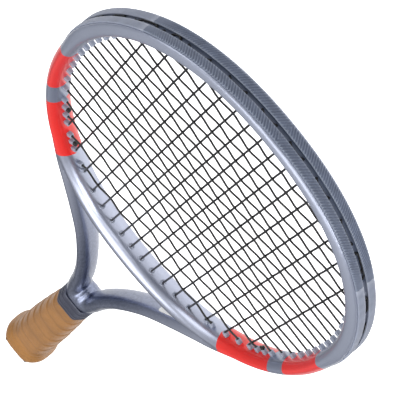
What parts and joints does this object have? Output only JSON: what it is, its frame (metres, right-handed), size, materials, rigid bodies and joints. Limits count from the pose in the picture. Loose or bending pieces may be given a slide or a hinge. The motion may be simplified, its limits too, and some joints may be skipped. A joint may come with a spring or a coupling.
{
  "type": "tennis racket",
  "caption": "Strung tennis racket with an oval head, open V throat, tip bumper guard and a leather-wrapped eight-sided handle.",
  "frame": {"origin": "centre of the bounding box at its lowest face, the racket lying flat", "axes": "+Y along the racket from the butt to the tip, +X across the face, +Z square to the strings"},
  "size_m": [0.2688, 0.685, 0.0384],
  "materials": {
    "frame_paint": "satin metallic paint over carbon composite, with two red bands on each side",
    "bridge_paint": "light satin metallic paint over carbon composite",
    "bumper": "moulded nylon with fine ribs",
    "grommet": "moulded nylon",
    "label": "blank film label",
    "string": "smooth monofilament",
    "foam": "rigid moulded foam",
    "cap_plastic": "moulded plastic",
    "steel": "bright wire",
    "leather": "smooth tanned leather, wrapped",
    "tape": "adhesive cloth tape",
    "collar": "satin rubber"
  },
  "bodies": {
    "racket": {"frame_hairpin": "frame_paint", "throat_bridge": "bridge_paint", "bumper_guard": "bumper", "bridge_grommet_strip": "grommet", "side_grommet_strip_right": "grommet", "side_grommet_strip_left": "grommet", "shoulder_grommet_strip_right": "grommet", "shoulder_grommet_strip_left": "grommet", "throat_label": "label", "main_string": "string", "cross_string": "string", "handle_pallet_upper": "foam", "handle_pallet_lower": "foam", "butt_cap": "cap_plastic", "cap_staple_upper_right": "steel", "cap_staple_lower_right": "steel", "cap_staple_upper_left": "steel", "cap_staple_lower_left": "steel", "grip_tack": "steel", "leather_grip": "leather", "finishing_tape": "tape", "rubber_collar": "collar"},
    "cap_door": {"butt_cap_door": "cap_plastic"}
  },
  "joints": [
    {"name": "cap_door_pull", "type": "slide", "parent": "racket", "child": "cap_door", "axis": [0, -1, 0], "range_m": [0, 0.012]}
  ]
}
